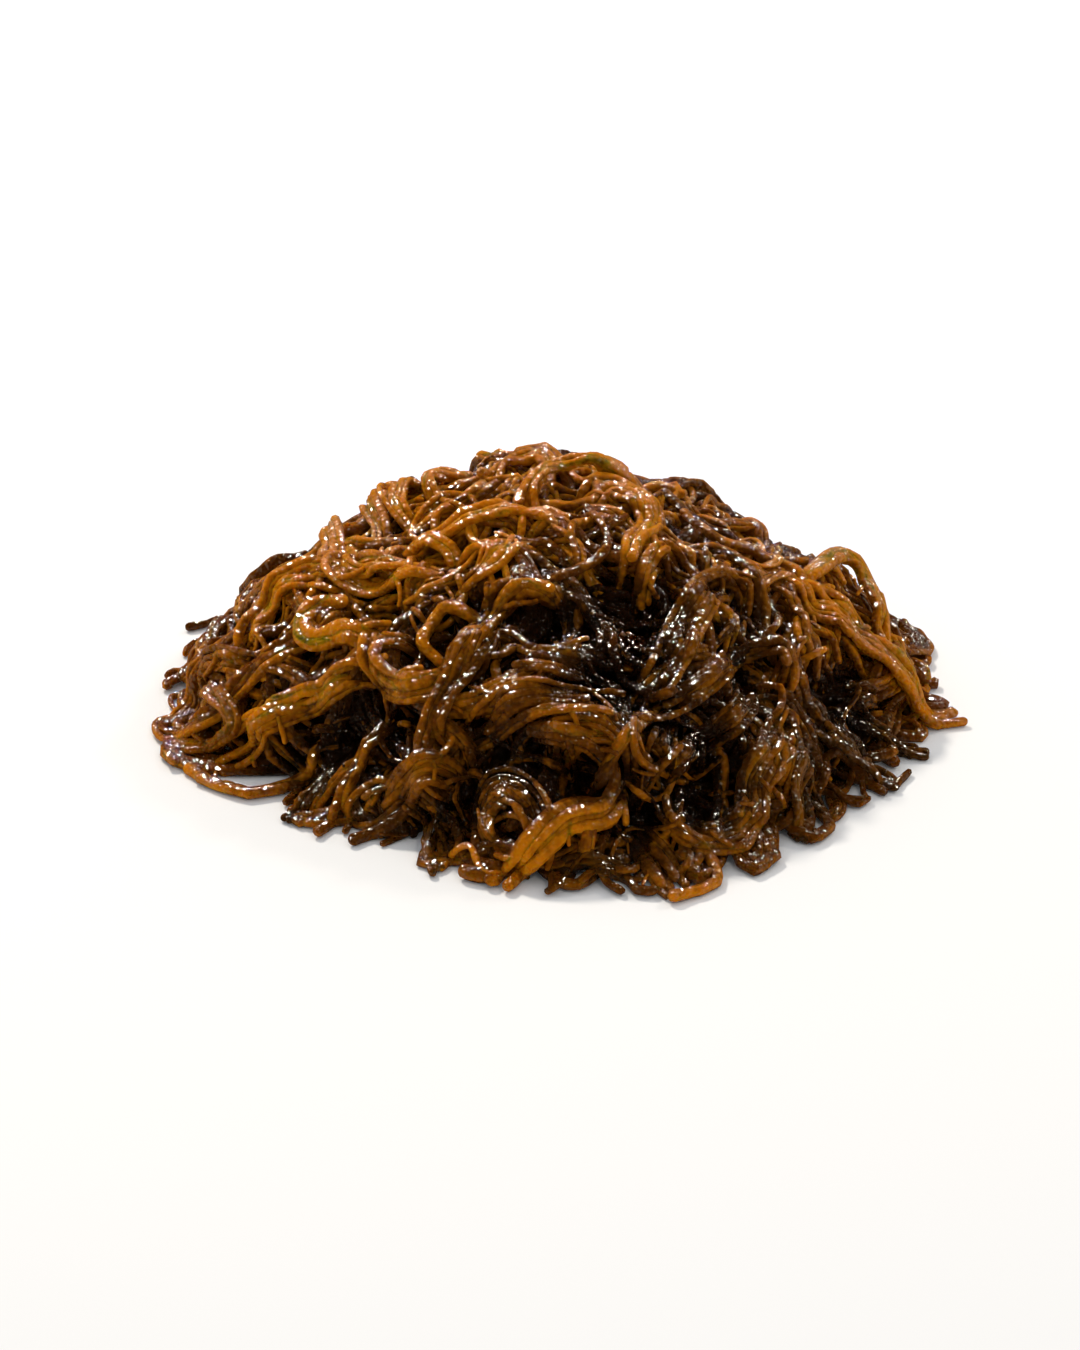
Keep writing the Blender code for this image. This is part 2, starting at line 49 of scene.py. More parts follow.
# The heap's outer form, as in the CAD source
FOOT_BEARINGS = np.array((0, 40, 90, 135, 165, 195, 218, 250, 268, 285, 318, 345, 360))
FOOT_RADII = np.array((95, 91, 97, 91, 99, 101, 91, 90, 98, 99, 91, 93, 95)) * MM
MEAN_RADIUS = 95 * MM
HEAP_HEIGHT = 62 * MM
SHOULDER_POWER = 0.75
DRAPE_CENTRE = np.array((0, 0, -30 * MM))
HEAP_PLACE = np.array((-0.7 * MM, 2.2 * MM, 0))

# Where the form swells or sinks: bearing, share of the way from the crown to the foot, width, rise
SWELLS = [
    (35, 0.50, 30 * MM, -5 * MM),
    (188, 0.42, 22 * MM, -2.5 * MM),
    (184, 0.82, 14 * MM, 5 * MM),
    (5, 0.84, 14 * MM, 4 * MM),
]

# The map of the heap's skin, on the outer form rolled out flat
CELL = 0.9 * MM
MAP_REACH = 142 * MM
FORM_STEPS = 600
APRON = 0.2

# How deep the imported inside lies, how uneven it is, and the rings of its mesh
INSIDE_DEPTH = 15 * MM
MOST_HOLLOW = 8 * MM
INSIDE_LUMP = 3.0 * MM
INSIDE_LUMP_SIZE = 17 * MM
INSIDE_SEED = 3
INSIDE_REACH = 0.9
INSIDE_RINGS = 46
INSIDE_AROUND = 120
INSIDE_LOWEST = 0.5 * MM

# Lumps are waves added up: how many, their lengths as shares of the lumps' size, how far these are
# stretched, and the divisor that brings the sum to about 1
LUMP_WAVES = 10
LUMP_PITCHES = (0.8, 1.7)
PITCH_STRETCH = 1.4
LUMP_DIVISOR = 4

# Strands press into each other more, the nearer they come to the outer form
SQUEEZE_FROM = -5 * MM
SQUEEZE = 6 * MM
LOCK_RISE = 1.5 * MM
SKIN_BELOW_FORM = 3 * MM

# The share of a hollow's depth that the tangle and the locks follow
TANGLE_IN_HOLLOWS = 0.8
LOCKS_IN_HOLLOWS = 0.25

# Strands get darker with depth, as painted shade deep in the heap: from this far above the skin aimed
# at, over this range
LIT_ABOVE = 1 * MM
LIT_RANGE = 9 * MM

# Strands: spacing of their points, how far they press into each other, how stiffly they bridge a gap
STRAND_STEP = 1.4 * MM
PRESS = 0.5
BRIDGE_PASSES = 10
TANGLE_SIDES = 6
LOCK_SIDES = 8

# A strand's lumps and wobble, with the points in a wave of each, its oval section and how that turns,
# and how many of its radii its middle stays above the ground
LUMPS = 0.14
LUMP_WAVE = 5.0
FINE_LUMPS = 0.11
FINE_LUMP_WAVE = 1.7
WOBBLE = 0.35 * MM
WOBBLE_WAVE = 4.0
FLATNESS = (-0.12, 0.2)
SECTION_TURN = (-0.1, 0.1)
OFF_GROUND = 1.2

# A strand's tip is a half ball: two rings, by the sines of 30 and 60 degrees, then a middle
HALF_BALL_NEAR = 0.5
HALF_BALL_FAR = 0.87
TIP_MIDDLE = 0.2

# Strand ends go down into the heap
DIVING_SHARE = 0.85
DIVE_DEPTH = 5 * MM
DIVE_LENGTH = 8 * MM
DIVE_POWER = 1.5

# Bundles: how close their strands lie, how they twist, lift and weave, and how much they differ
SHARE_OF_PITCH = 0.68
HALF_TURNS = (25 * MM, 60 * MM)
TWIST_WIDTHS = (0.80, 0.20)
TWIST_LIFT = 0.28
LIFT_SHARE = 0.5
WEAVE = 0.5
WEAVE_WAVE = 9.0
RADIUS_SPREAD = (0.78, 1.2)
TONE_SPREAD = 0.2
FEWEST_POINTS = 6

# Side branches: lengths in mm, how they turn away and bend in radians, how they get thinner, how they
# leave the strand, and how far out and how heavily they lie
BRANCH_CHANCE = 0.5
BRANCH_LENGTHS = (4, 13)
BRANCH_TURNS = (0.5, 1.1)
BRANCH_BEND = 0.16
BRANCH_SIZE = 0.72
BRANCH_ENDS = (0.55, 0.9)
BRANCH_LUMP_WAVE = 3.0
BRANCH_FROM_STEPS = 3
BRANCH_REACH = 0.99
BRANCH_WEIGHT = 0.8

# Curling paths: how fast the curl changes, and how many radians a step they turn at the edge
CURL_CHANGE = 0.35
EDGE_TURN = 0.25

# The tangle, from its deepest strands to its topmost: bundles, paths tried for each, lengths in mm,
# tightest curl, reach, radii in mm, numbers of strands, tones, lower in the deeper layers as painted
# shade, and side branches
TANGLE_SEED = 21
TANGLE_LAYERS = [
    (80, 12, (50, 95), 22 * MM, 0.97, (1.3, 1.8), (3, 4, 5), (0.1, 0.5), 0),
    (210, 14, (45, 110), 14 * MM, 0.985, (0.85, 1.35), (2, 2, 3, 3, 4, 5), (0.2, 0.8), 1),
    (190, 6, (18, 50), 6 * MM, 0.99, (0.75, 1.25), (1, 1, 2), (0.3, 0.9), 1),
]

# The tangle's bunches, named for the side of the heap that they lie on
SECTORS = ("right", "back_right", "back", "back_left", "left", "front_left", "front", "front_right")
# Painted light and shade in part: the bunches on the crown and on the sides the lamps light are amber, the
# rest brown
AMBER_SECTORS = ("crown", "left", "back_left", "right")
SECTOR_ANGLE = 360 / len(SECTORS)
CROWN_SHARE = 0.42

# Colours of the wet strands, from the deepest, a painted shade, to the best lit, partly a painted light.
# The amber, brown and dark sets are partly the strands' own colours and partly painted light and shade:
# the dark set lies at the foot.
AMBER = ((0.015, 0.004, 0.0003), (0.185, 0.048, 0.001), (0.72, 0.250, 0.003))
BROWN = ((0.010, 0.003, 0.0003), (0.110, 0.030, 0.001), (0.46, 0.150, 0.002))
DARK = ((0.006, 0.002, 0.0003), (0.052, 0.016, 0.001), (0.25, 0.085, 0.002))
LOCK_TONES = {AMBER: 0.75, BROWN: 0.55, DARK: 0.45}

# Changes of tone over a strand: between patches; from its top to its underside, a painted glow; from the
# crease to its outer side, painted shade where strands meet; and with its depth in the heap, painted shade
WHOLE_RANGE = (0, 1)
NOISE_RANGE = (0.3, 0.7)
WIDE_PATCH_SCALE = 140
WIDE_PATCHES = (-0.22, 0.22)
FINE_PATCH_SCALE = 520
FINE_PATCHES = (-0.16, 0.16)
# Painted light: the underside of each strand is lighter, a glow as if light shone through it
UNDER_RANGE = (0.2, 0.8)
PAINTED_UNDERSIDE_GLOW = (-0.15, 0.25)
# Painted shade: the sides of strands that face into the heap, in the crease where strands meet, are darker
OUTER_RANGE = (0.45, 0.95)
PAINTED_CREASE_SHADE = (-0.55, 0.12)
# Painted shade: the deeper a strand lies, the lower its tone and the nearer its colour to the deepest one
PAINTED_DEPTH_SHADE = (-0.35, 0.15)
PAINTED_SHADE_DEPTHS = (0.0, 0.75)
LIT_TONES = (0.25, 1.0)

# The wet surface: roughness, ripples and wider swells, and how light goes through the flesh
WETNESS_SCALE = 420
ROUGHNESSES = (0.04, 0.12)
RIPPLE_SCALE = 850
RIPPLE_HEIGHT = 1.2
SWELL_SCALE = 330
SWELL_HEIGHT = 1.6
BUMP_DISTANCE = 0.8 * MM
FLESH_IOR = 1.4
FLESH_TRANSMISSION = 0.35
FLESH_SCATTER = (1.0, 0.55, 0.2)
FLESH_SCATTER_SCALE = 1.3 * MM

# Where the heap is lighter or darker than elsewhere, partly the strands' own tone and partly painted
# light and shade: bearing, share, width, change of tone
TONE_PLACES = [
    (190, 0.85, 30 * MM, 0.30),
    (200, 0.38, 34 * MM, 0.30),
    (155, 0.45, 34 * MM, 0.30),
    (50, 0.40, 30 * MM, 0.30),
    (60, 0.15, 30 * MM, 0.20),
    (350, 0.74, 26 * MM, 0.20),
    (282, 0.52, 30 * MM, -0.14),
    (325, 0.84, 28 * MM, -0.04),
    (332, 0.56, 28 * MM, 0.15),
    (250, 0.92, 26 * MM, 0.10),
    (290, 0.95, 22 * MM, 0.15),
]

# Dark hollows between the locks: bearing, share of the way to the foot, radius, depth
HOLLOWS = [
    (208, 0.61, 6 * MM, 7 * MM),
    (236, 0.62, 5 * MM, 7 * MM),
    (236, 0.485, 6 * MM, 7 * MM),
    (259, 0.49, 7 * MM, 7 * MM),
    (268, 0.48, 7 * MM, 6 * MM),
    (282, 0.4, 5 * MM, 7 * MM),
    (292, 0.47, 7 * MM, 6 * MM),
    (300, 0.47, 7 * MM, 5 * MM),
    (306, 0.47, 8 * MM, 6 * MM),
    (284, 0.615, 7 * MM, 7 * MM),
    (282, 0.655, 6 * MM, 5 * MM),
    (316, 0.725, 6 * MM, 8 * MM),
    (297, 0.76, 9 * MM, 6 * MM),
    (299, 0.85, 8 * MM, 7 * MM),
    (294, 0.89, 7 * MM, 8 * MM),
    (291, 0.91, 5 * MM, 7 * MM),
    (273, 0.85, 7 * MM, 8 * MM),
    (268, 0.85, 6 * MM, 7 * MM),
    (283, 0.92, 5 * MM, 7 * MM),
    (253, 0.93, 6 * MM, 7 * MM),
    (245, 0.965, 5 * MM, 6 * MM),
    (237, 0.93, 5 * MM, 7 * MM),
    (212, 0.965, 7 * MM, 6 * MM),
    (222, 0.87, 10 * MM, 9 * MM),
    (233, 0.83, 7 * MM, 8 * MM),
    (256, 0.82, 7 * MM, 9 * MM),
    (333, 0.85, 9 * MM, 7 * MM),
    (337, 0.94, 7 * MM, 6 * MM),
    (70, 0.62, 9 * MM, 8 * MM),
    (125, 0.68, 9 * MM, 8 * MM),
    (150, 0.78, 8 * MM, 8 * MM),
    (22, 0.72, 8 * MM, 8 * MM),
    (100, 0.85, 8 * MM, 7 * MM),
    (45, 0.82, 8 * MM, 7 * MM),
]

# Each lock's route, as in the CAD source: bearing in degrees and share of the way from the crown to the
# foot. Then its fine strands, their radius in mm and its colours, the dark ones at the foot partly painted
# shade.
LOCKS = {
    "lock_left_sweep": (
        [(226, 0.72), (219, 0.765), (215, 0.82), (211, 0.86), (208, 0.91), (206, 0.955), (203, 0.99)],
        7,
        1.2,
        AMBER,
    ),
    "lock_left_foot_loop": (
        [(217, 0.89), (218, 0.94), (217, 0.97), (213, 1.0), (208, 1.02), (203, 1.01)],
        2,
        1.2,
        AMBER,
    ),
    "lock_left_fold": (
        [(186, 0.96), (193, 0.92), (200, 0.91), (204, 0.94), (200, 0.98), (194, 1.0)],
        4,
        1.04,
        BROWN,
    ),
    "lock_left_shoulder": ([(188, 0.6), (186, 0.68), (187, 0.75), (190, 0.81), (194, 0.86)], 7, 1.04, AMBER),
    "lock_left_rim": ([(199, 0.82), (194, 0.86), (189, 0.9), (185, 0.95)], 5, 0.96, BROWN),
    "lock_left_arch": (
        [(203, 0.6), (200, 0.65), (201, 0.71), (206, 0.735), (212, 0.69), (218, 0.69)],
        3,
        1.6,
        AMBER,
    ),
    "lock_crown_left": ([(178, 0.54), (188, 0.58), (198, 0.55), (206, 0.49), (214, 0.42)], 5, 1.2, AMBER),
    "lock_u_loop": (
        [
            (219, 0.67), (223, 0.72), (229, 0.745), (235, 0.745), (240, 0.7), (242, 0.61),
            (243, 0.52), (246, 0.45), (252, 0.415), (261, 0.395), (270, 0.4),
        ],
        5,
        1.36,
        AMBER,
    ),
    "lock_crown_arch": (
        [(190, 0.44), (196, 0.35), (201, 0.27), (210, 0.19), (235, 0.13), (275, 0.15)],
        4,
        1.2,
        AMBER,
    ),
    "lock_crown_fall": ([(222, 0.46), (229, 0.42), (235, 0.36), (240, 0.29), (248, 0.23)], 4, 1.2, AMBER),
    "lock_crown_back": (
        [(215, 0.13), (175, 0.09), (115, 0.09), (60, 0.12), (38, 0.2), (30, 0.3)],
        4,
        1.12,
        AMBER,
    ),
    "lock_crown_right": (
        [(330, 0.05), (20, 0.13), (352, 0.22), (328, 0.27), (308, 0.3), (296, 0.37)],
        5,
        1.2,
        AMBER,
    ),
    "lock_crown_drop": ([(326, 0.37), (314, 0.36), (305, 0.39), (300, 0.45)], 4, 1.2, AMBER),
    "lock_middle_fall": ([(268, 0.35), (276, 0.39), (281, 0.45), (282, 0.52), (279, 0.59)], 5, 1.12, BROWN),
    "lock_middle_column": (
        [(247, 0.56), (245, 0.66), (243, 0.75), (243, 0.83), (246, 0.88)],
        7,
        1.12,
        BROWN,
    ),
    "lock_middle_ribs": ([(256, 0.62), (262, 0.6), (270, 0.6), (278, 0.61), (283, 0.64)], 7, 1.04, BROWN),
    "lock_middle_bar": (
        [(249, 0.81), (254, 0.765), (259, 0.72), (266, 0.69), (274, 0.69), (282, 0.7)],
        7,
        1.12,
        BROWN,
    ),
    "lock_middle_lower": ([(262, 0.76), (268, 0.765), (274, 0.78), (278, 0.81)], 4, 1.12, BROWN),
    "lock_right_rope": (
        [(333, 0.57), (329, 0.52), (321, 0.51), (313, 0.535), (305, 0.57), (297, 0.62), (290, 0.67)],
        7,
        1.12,
        BROWN,
    ),
    "lock_right_hook": (
        [
            (323, 0.77), (325, 0.72), (320, 0.685), (314, 0.69), (307, 0.7), (299, 0.71),
            (291, 0.715), (285, 0.71),
        ],
        5,
        1.12,
        BROWN,
    ),
    "lock_right_drop": ([(346, 0.6), (342, 0.66), (338, 0.71), (334, 0.76), (332, 0.81)], 5, 1.04, BROWN),
    "lock_right_shoulder": (
        [(352, 0.6), (350, 0.69), (350, 0.78), (350, 0.86), (350, 0.93), (351, 0.99), (353, 1.04)],
        8,
        1.12,
        AMBER,
    ),
    "lock_right_ear": (
        [(350, 0.64), (0, 0.68), (8, 0.74), (5, 0.81), (358, 0.86), (355, 0.92)],
        4,
        1.2,
        AMBER,
    ),
    "lock_front_right_bow": (
        [(317, 0.75), (310, 0.78), (302, 0.8), (295, 0.81), (289, 0.84), (286, 0.87)],
        5,
        1.12,
        BROWN,
    ),
    "lock_front_right_loop": (
        [
            (317, 0.86), (310, 0.875), (305, 0.9), (302, 0.94), (297, 0.965), (291, 0.955),
            (287, 0.92), (287, 0.88),
        ],
        8,
        1.12,
        BROWN,
    ),
    "lock_right_fan": ([(320, 0.87), (317, 0.91), (312, 0.95), (309, 1.0)], 8, 0.96, DARK),
    "lock_right_foot": ([(324, 0.88), (327, 0.92), (330, 0.96), (331, 1.0)], 7, 1.04, DARK),
    "lock_right_low": ([(337, 0.88), (339, 0.94), (341, 1.0)], 7, 0.96, DARK),
    "lock_front_drip": (
        [(279, 0.81), (279, 0.86), (276, 0.9), (270, 0.91), (266, 0.945), (263, 0.98), (260, 1.01)],
        4,
        1.36,
        AMBER,
    ),
    "lock_front_fan": ([(280, 0.93), (283, 0.965), (285, 1.0)], 7, 1.04, BROWN),
    "lock_front_foot": ([(267, 0.99), (273, 0.97), (279, 0.985)], 5, 0.96, DARK),
    "lock_front_loops": (
        [(259, 0.985), (256, 0.955), (255, 0.92), (258, 0.88), (262, 0.875), (265, 0.9), (266, 0.93)],
        7,
        1.04,
        BROWN,
    ),
    "lock_front_left_arch": (
        [(234, 0.98), (238, 0.95), (241, 0.91), (245, 0.875), (249, 0.885), (250, 0.92)],
        8,
        1.12,
        BROWN,
    ),
    "lock_front_left_thread": (
        [(227, 0.79), (230, 0.83), (229, 0.88), (229, 0.93), (230, 1.0)],
        2,
        1.3,
        AMBER,
    ),
    "lock_front_left_foot": ([(243, 0.93), (246, 0.955), (249, 0.975), (252, 1.0)], 7, 1.04, DARK),
    "lock_left_stems": ([(221, 0.9), (223, 0.95), (224, 1.0)], 5, 0.96, DARK),
    "lock_back_left": ([(140, 0.38), (143, 0.55), (136, 0.7), (142, 0.84), (150, 0.97)], 8, 1.12, BROWN),
    "lock_back_middle": ([(95, 0.34), (104, 0.48), (112, 0.62), (104, 0.78), (110, 0.95)], 8, 1.12, AMBER),
    "lock_back_loop": ([(88, 0.62), (80, 0.76), (88, 0.9), (100, 1.0)], 5, 1.12, BROWN),
    "lock_back_right": ([(50, 0.42), (60, 0.54), (54, 0.7), (62, 0.85), (56, 0.98)], 8, 1.12, BROWN),
    "lock_back_right_rim": ([(22, 0.66), (30, 0.8), (26, 0.92), (36, 1.0)], 5, 1.12, AMBER),
    "lock_back_left_rim": ([(158, 0.72), (160, 0.86), (154, 0.97), (160, 1.03)], 5, 1.12, BROWN),
    "lock_back_foot_left": ([(118, 0.88), (124, 0.94), (130, 1.0), (138, 1.03)], 5, 1.04, DARK),
    "lock_back_foot_right": ([(66, 0.84), (70, 0.93), (76, 1.0), (85, 1.03)], 5, 1.04, BROWN),
    "lock_right_side_foot": ([(4, 0.9), (10, 0.96), (16, 1.01), (24, 1.02)], 5, 1.04, BROWN),
}

# Steps of a smooth curve between two points of a route
ROUTE_STEPS = 20

# Loops that stand proud of the heap, and how far their middles rise
PROUD_LOOPS = {"lock_crown_back": 4.5 * MM, "lock_right_ear": 3 * MM}

# Strands that lie over the locks: route, strands, radius in mm, tone
STRAY_RISE = 1.2 * MM
STRAYS = [
    ([(192, 0.42), (199, 0.38), (206, 0.36), (213, 0.38)], 2, 1.5, 0.85),
    ([(243, 0.515), (233, 0.52), (229, 0.56), (231, 0.63), (236, 0.66)], 1, 1.6, 0.75),
    ([(230, 0.815), (234, 0.81), (238, 0.805)], 1, 1.2, 0.7),
    ([(316, 0.745), (319, 0.78), (318, 0.81), (313, 0.84)], 1, 1.2, 0.6),
    ([(262, 0.985), (258, 0.99), (255, 0.97), (252, 0.985), (251, 1.0)], 1, 1.2, 0.6),
    ([(274, 0.91), (273, 0.97)], 2, 1.2, 0.55),
    ([(329, 0.765), (334, 0.775), (339, 0.78)], 1, 1.2, 0.8),
    ([(339, 0.645), (333, 0.67), (326, 0.68)], 1, 1.1, 0.45),
    ([(291, 0.965), (291, 0.995), (287, 1.02), (284, 1.035)], 1, 1.3, 0.7),
    ([(140, 0.30), (122, 0.34), (104, 0.30), (96, 0.22)], 3, 1.2, 0.8),
    ([(84, 0.20), (76, 0.28), (60, 0.30), (50, 0.24)], 3, 1.2, 0.7),
    ([(160, 0.36), (150, 0.42), (138, 0.42), (128, 0.36)], 3, 1.1, 0.8),
    ([(58, 0.34), (48, 0.42), (36, 0.42), (30, 0.36)], 4, 1.1, 0.8),
    ([(136, 0.60), (147, 0.60), (158, 0.55), (168, 0.50), (178, 0.50)], 5, 1.1, 0.75),
    ([(140, 0.50), (152, 0.50), (163, 0.46), (174, 0.40)], 4, 1.1, 0.75),
    ([(158, 0.68), (166, 0.62), (175, 0.60), (184, 0.62)], 4, 1.1, 0.75),
]

# Floor: size in metres, colour, and the darker colour that the strands' gloss shows
FLOOR_SIZE = 6
FLOOR_WHITE = (0.84, 0.86, 0.89, 1)
FLOOR_IN_GLOSS = (0.10, 0.08, 0.06, 1)
FLOOR_ROUGHNESS = 0.6

# Strength of the sky, and its change in gloss and through the strands
SKY = 0.66
SKY_IN_GLOSS = -0.645
SKY_THROUGH = -0.15

# Lamps: name, place, size, watts
LAMP_COLOUR = (1.0, 0.90, 0.76)
LAMP_AIM = (0, 0, 0.03)
LAMPS = [
    ("key", (-0.45, 0.60, 0.95), 0.16, 9.5),
    ("side", (0.75, 0.45, 0.75), 0.12, 2.0),
    ("front", (0.35, -0.90, 1.00), 0.12, 1.5),
]

# Camera: film height and lens in mm, place in metres, tilt up from looking straight down
FILM_HEIGHT = 36
LENS = 120
CAMERA_PLACE = (-0.00685, -0.98898, 0.53367)
CAMERA_TILT = 62

# The heap's form, rolled out: distances on the sheet are distances over the dome from its crown


def dome_height(share):
    return HEAP_HEIGHT * np.maximum(0.0, 1 - share * share) ** SHOULDER_POWER


FORM_SHARES = np.linspace(0, 1 + APRON, FORM_STEPS)
FORM_ARCS = np.concatenate(
    [[0.0], np.cumsum(np.hypot(np.diff(FORM_SHARES) * MEAN_RADIUS, np.diff(dome_height(FORM_SHARES))))]
)
FOOT_ARC = float(np.interp(1.0, FORM_SHARES, FORM_ARCS))


def foot_radius(bearings):
    turned = np.degrees(bearings) % 360
    at = np.clip(np.searchsorted(FOOT_BEARINGS, turned, side="right") - 1, 0, len(FOOT_BEARINGS) - 2)
    part = (turned - FOOT_BEARINGS[at]) / (FOOT_BEARINGS[at + 1] - FOOT_BEARINGS[at])
    return FOOT_RADII[at] + (FOOT_RADII[at + 1] - FOOT_RADII[at]) * part * part * (3 - 2 * part)


def swell(across, along):
    """How far the heap rises above the plain dome over places in plan."""
    total = np.zeros(np.shape(across))
    for bearing, share, width, rise in SWELLS:
        angle = math.radians(bearing)
        reach = share * foot_radius(angle)
        away = np.hypot(across - reach * math.cos(angle), along - reach * math.sin(angle))
        total += rise * np.exp(-((away / width) ** 2))
    return total


def sheet_point(bearing, share):
    """Where a route's point lies on the rolled-out form."""
    angle = math.radians(bearing)
    return np.array((math.cos(angle), math.sin(angle))) * np.interp(share, FORM_SHARES, FORM_ARCS)


def directions(sheet, floor):
    """Unit vectors from the drape centre through the form's points, no lower than the floor given."""
    arcs = np.hypot(sheet[..., 0], sheet[..., 1])
    bearings = np.arctan2(sheet[..., 1], sheet[..., 0])
    shares = np.interp(arcs, FORM_ARCS, FORM_SHARES)
    reach = shares * foot_radius(bearings)
    across = reach * np.cos(bearings)
    along = reach * np.sin(bearings)
    heights = np.maximum(dome_height(shares) + swell(across, along), floor)
    away = np.stack([across, along, heights], axis=-1) - DRAPE_CENTRE
    lengths = np.linalg.norm(away, axis=-1)
    return away / lengths[..., None], lengths


def in_space(sheet, levels, floor):
    aim, _ = directions(sheet, floor)
    return DRAPE_CENTRE + HEAP_PLACE + aim * levels[..., None]


# The skin of the heap, as a map of distances from the drape centre


def map_cells():
    count = 2 * round(MAP_REACH / CELL) + 1
    line = (np.arange(count) - count // 2) * CELL
    across, along = np.meshgrid(line, line, indexing="ij")
    return np.stack([across, along], axis=-1)


def hollow_depths(cells):
    total = np.zeros(cells.shape[:2])
    for bearing, share, radius, depth in HOLLOWS:
        away = np.linalg.norm(cells - sheet_point(bearing, share), axis=-1)
        total += depth * np.exp(-((away / radius) ** 2))
    return MOST_HOLLOW * (1 - np.exp(-total / MOST_HOLLOW))


def lumps(cells, size, draw):
    """Smooth bumps of about this size, mostly between -1 and 1."""
    total = np.zeros(cells.shape[:2])
    for _ in range(LUMP_WAVES):
        angle = draw.uniform(0, 2 * math.pi)
        pitch = size * draw.uniform(*LUMP_PITCHES)
        along = cells[..., 0] * math.cos(angle) + cells[..., 1] * math.sin(angle)
        start = draw.uniform(0, 2 * math.pi)
        total += np.sin(along * 2 * math.pi / pitch / PITCH_STRETCH + start)
    return total / LUMP_DIVISOR


cells = map_cells()
aims, form_levels = directions(cells, 0.0)
floor_levels = -DRAPE_CENTRE[2] / aims[..., 2]
hollows = hollow_depths(cells)
unevenness = INSIDE_LUMP * lumps(cells, INSIDE_LUMP_SIZE, random.Random(INSIDE_SEED))
inside = form_levels - INSIDE_DEPTH - hollows + unevenness
skin = np.maximum(inside, floor_levels)
target = form_levels - SKIN_BELOW_FORM
wanted = target - hollows
tangle_limit = form_levels - TANGLE_IN_HOLLOWS * hollows
lock_limit = form_levels + LOCK_RISE - LOCKS_IN_HOLLOWS * hollows


def at_cells(points):
    middle = cells.shape[0] // 2
    index = np.rint(points / CELL).astype(int) + middle
    return np.clip(index, 0, cells.shape[0] - 1)


def read_map(grid, points):
    index = at_cells(points)
    return grid[index[..., 0], index[..., 1]]


def footprint(radius):
    """The map cells that a strand's cross-section covers, and its half height over each."""
    reach = int(radius / CELL)
    steps = range(-reach, reach + 1)
    inside_it = [(i, j) for i in steps for j in steps if math.hypot(i, j) * CELL < radius]
    offsets = np.array(inside_it)
    caps = np.sqrt(radius**2 - (np.hypot(offsets[:, 0], offsets[:, 1]) * CELL) ** 2)
    return offsets, caps


def covered_cells(sheet, radius):
    offsets, caps = footprint(radius)
    index = at_cells(sheet)[:, None, :] + offsets[None]
    index = np.clip(index, 0, cells.shape[0] - 1)
    return index[..., 0], index[..., 1], caps


def resting_levels(sheet, radius, press, limit):
    """How far out a strand's middle lies, resting on the skin and bridging its small gaps."""
    rows, columns, caps = covered_cells(sheet, radius)
    need = (skin[rows, columns] + caps).max(axis=1) - press * radius
    aim, _ = directions(sheet, radius)
    ground = (radius - DRAPE_CENTRE[2]) / aim[:, 2]
    need = np.maximum(need, ground)
    levels = need
    for _ in range(BRIDGE_PASSES):
        ends = np.concatenate([levels[:1], levels, levels[-1:]])
        levels = np.maximum(need, (ends[:-2] + 2 * levels + ends[2:]) / 4)
    start = read_map(limit, sheet) + SQUEEZE_FROM - radius
    over = np.maximum(levels - start, 0)
    squeezed = np.where(levels > start, start + SQUEEZE * (1 - np.exp(-over / SQUEEZE)), levels)
    return np.maximum(squeezed, ground)


def lay_down(sheet, levels, radius):
    """Adds a strand to the skin."""
    rows, columns, caps = covered_cells(sheet, radius)
    np.maximum.at(skin, (rows, columns), levels[:, None] + caps[None])


# Strands


def gentle_noise(count, wave, draw):
    """Numbers between -1 and 1 that change smoothly over this many points."""
    knots = max(4, int(count / wave) + 4)
    values = [draw.uniform(-1, 1) for _ in range(knots)]
    places = np.arange(count) / wave + draw.random()
    low = places.astype(int)
    part = places - low
    part = part * part * (3 - 2 * part)
    values = np.array(values)
    return values[low] * (1 - part) + values[low + 1] * part


def with_round_tips(points, radii):
    """Two more points past each end, with the radii of a half ball."""
    first = points[0] - points[1]
    first /= np.linalg.norm(first)
    last = points[-1] - points[-2]
    last /= np.linalg.norm(last)
    near, far = HALF_BALL_NEAR, HALF_BALL_FAR
    before = [points[0] + first * radii[0] * far, points[0] + first * radii[0] * near]
    after = [points[-1] + last * radii[-1] * near, points[-1] + last * radii[-1] * far]
    start, end = radii[:1], radii[-1:]
    radii = np.concatenate([start * near, start * far, radii, end * far, end * near])
    return np.concatenate([before, points, after]), radii


def normals_along(points, ahead):
    """Directions across a tube that turn no more than its bends make them."""
    up = points[0] - DRAPE_CENTRE
    normals = np.empty_like(points)
    for k in range(len(points)):
        up = up - ahead[k] * (up @ ahead[k])
        up = up / math.sqrt(up @ up)
        normals[k] = up
    return normals


def side_faces(count, sides):
    """The corners of each face between a tube's rings."""
    ring = np.arange(count - 1)[:, None] * sides
    here = np.arange(sides)[None]
    after = (here + 1) % sides
    next_ring = ring + sides
    quads = np.stack([ring + here, ring + after, next_ring + after, next_ring + here], axis=-1)
    return quads.reshape(-1, 4)


